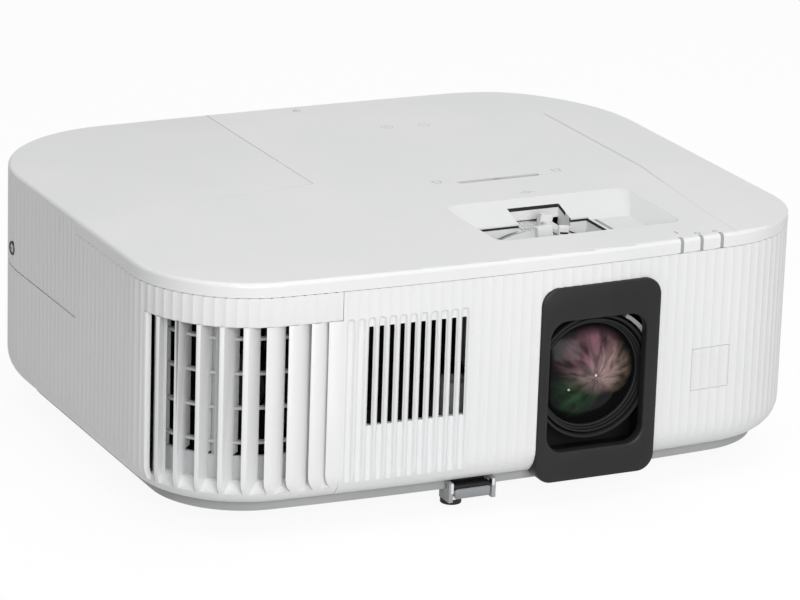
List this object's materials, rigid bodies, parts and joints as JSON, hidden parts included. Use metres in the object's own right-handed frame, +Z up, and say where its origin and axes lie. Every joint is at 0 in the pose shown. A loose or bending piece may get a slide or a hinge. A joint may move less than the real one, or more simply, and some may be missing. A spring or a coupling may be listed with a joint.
{
  "type": "home projector",
  "caption": "Low rounded box projector with a lens window at one side of the front, a corner exhaust grille, a control recess on top, adjustable feet and a lamp cover.",
  "frame": {"origin": "middle of the box at the level of the underside of the feet", "axes": "+X to the right seen from the front, +Y to the rear (the lens looks along -Y), +Z up"},
  "size_m": [0.333, 0.276, 0.122],
  "materials": {
    "shell_white": "fine matte white",
    "shell_grey": "matte light grey",
    "grille_light_grey": "matte light grey",
    "black_satin": "satin black",
    "black_matte": "matte black",
    "window_smoke": "glossy cover",
    "light_guide": "glossy grey",
    "control_white": "matte light",
    "rubber_black": "matte",
    "steel": "plain",
    "brass": "plain",
    "aluminium": "satin",
    "board_green": "circuit board",
    "board_amber": "circuit board",
    "optic_glass": "polished",
    "coated_glass": "coated, polished",
    "mirror": "polished",
    "filter_foam": "pleated paper",
    "lamp_frame": "heat proof",
    "port_metal": "plated",
    "button_grey": "matte"
  },
  "bodies": {
    "case": {"base_tray": "shell_grey", "front_panel": "shell_white", "exhaust_cover": "shell_white", "exhaust_inner_grille": "grille_light_grey", "left_side_panel": "shell_white", "right_side_panel": "shell_white", "rear_panel": "shell_grey", "top_cover": "shell_white", "lens_bezel": "black_satin", "receiver_window": "window_smoke", "indicator_light_guide": "light_guide", "indicator_board": "board_green", "case_screws": "steel", "ceiling_mount_inserts": "brass", "lamp_housing": "lamp_frame", "lamp_reflector": "mirror", "lamp_burner": "optic_glass", "lamp_window": "optic_glass", "engine_housing": "black_matte", "engine_lid": "aluminium", "integrator_plates": "optic_glass", "dichroic_mirrors": "coated_glass", "fold_mirrors": "mirror", "imaging_panels": "black_satin", "combining_prism": "optic_glass", "lens_barrel": "black_matte", "rear_lens": "optic_glass", "main_board": "board_green", "heat_sink": "aluminium", "power_board": "board_amber", "lamp_ballast": "board_amber", "video_ports": "port_metal", "data_port": "port_metal", "audio_jack": "black_matte", "power_inlet": "black_matte", "inlet_pins": "steel", "button_board": "board_green", "keystone_board": "board_green", "exhaust_fan_frame": "black_matte", "intake_fan_frame": "black_matte", "speaker": "black_matte"},
    "front_foot": {"front_foot": "shell_grey", "front_foot_pad": "rubber_black"},
    "foot_lever": {"foot_release_lever": "button_grey"},
    "rear_foot_left": {"rear_foot_left": "rubber_black"},
    "rear_foot_right": {"rear_foot_right": "rubber_black"},
    "focus_ring": {"focus_ring": "control_white"},
    "zoom_ring": {"zoom_ring": "control_white"},
    "front_lens_group": {"front_lens_cell": "black_matte", "front_lens": "coated_glass"},
    "keystone_knob": {"keystone_knob": "button_grey"},
    "lamp_cover": {"lamp_cover": "shell_white"},
    "lamp_cover_screw": {"lamp_cover_screw": "steel"},
    "air_filter_door": {"air_filter_cover": "shell_white", "air_filter": "filter_foam"},
    "exhaust_fan_rotor": {"exhaust_fan_rotor": "black_satin"},
    "intake_fan_rotor": {"intake_fan_rotor": "black_satin"},
    "button_power": {"button_power": "button_grey"},
    "button_source": {"button_source": "button_grey"},
    "button_menu": {"button_menu": "button_grey"}
  },
  "joints": [
    {"name": "front_foot_slide", "type": "slide", "parent": "case", "child": "front_foot", "axis": [0, 0, -1], "range_m": [0, 0.035]},
    {"name": "foot_lever_press", "type": "hinge", "parent": "case", "child": "foot_lever", "pos_m": [-0.016, -0.1256, 0.0125], "axis": [1, 0, 0], "range_deg": [0, 8], "stiffness_Nm_per_rad": 0.05, "springref_deg": -5.73},
    {"name": "rear_foot_left_screw", "type": "slide", "parent": "case", "child": "rear_foot_left", "axis": [0, 0, -1], "range_m": [0, 0.006]},
    {"name": "rear_foot_right_screw", "type": "slide", "parent": "case", "child": "rear_foot_right", "axis": [0, 0, -1], "range_m": [0, 0.006]},
    {"name": "focus_ring_turn", "type": "hinge", "parent": "case", "child": "focus_ring", "pos_m": [0.0425, -0.087, 0.0595], "axis": [0, 1, 0], "range_deg": [-18, 28]},
    {"name": "focus_travel", "type": "slide", "parent": "case", "child": "front_lens_group", "axis": [0, -1, 0], "range_m": [-0.001, 0.0015]},
    {"name": "zoom_ring_turn", "type": "hinge", "parent": "case", "child": "zoom_ring", "pos_m": [0.0425, -0.0605, 0.0595], "axis": [0, 1, 0], "range_deg": [-11, 8.5]},
    {"name": "keystone_slide", "type": "slide", "parent": "case", "child": "keystone_knob", "axis": [1, 0, 0], "range_m": [-0.0165, 0.0165]},
    {"name": "lamp_cover_slide", "type": "slide", "parent": "case", "child": "lamp_cover", "axis": [-1, 0, 0], "range_m": [0, 0.06]},
    {"name": "lamp_cover_screw_turn", "type": "hinge", "parent": "lamp_cover", "child": "lamp_cover_screw", "pos_m": [-0.1655, 0.0722, 0.0838], "axis": [1, 0, 0], "continuous": true},
    {"name": "air_filter_slide", "type": "slide", "parent": "case", "child": "air_filter_door", "axis": [1, 0, 0], "range_m": [0, 0.03]},
    {"name": "exhaust_fan_spin", "type": "hinge", "parent": "case", "child": "exhaust_fan_rotor", "pos_m": [-0.112, -0.08, 0.06], "axis": [-0.7071, -0.7071, 0], "continuous": true},
    {"name": "intake_fan_spin", "type": "hinge", "parent": "case", "child": "intake_fan_rotor", "pos_m": [-0.0545, -0.075, 0.03], "axis": [0, 0, 1], "continuous": true},
    {"name": "button_power_press", "type": "slide", "parent": "case", "child": "button_power", "axis": [0, -1, 0], "range_m": [0, 0.0008], "stiffness_N_per_m": 400, "springref_m": -0.001},
    {"name": "button_source_press", "type": "slide", "parent": "case", "child": "button_source", "axis": [0, -1, 0], "range_m": [0, 0.0008], "stiffness_N_per_m": 400, "springref_m": -0.001},
    {"name": "button_menu_press", "type": "slide", "parent": "case", "child": "button_menu", "axis": [0, -1, 0], "range_m": [0, 0.0008], "stiffness_N_per_m": 400, "springref_m": -0.001}
  ],
  "couplings": [
    {"joint": "focus_travel", "follows": "focus_ring_turn", "m_per_rad": 0.0025}
  ]
}
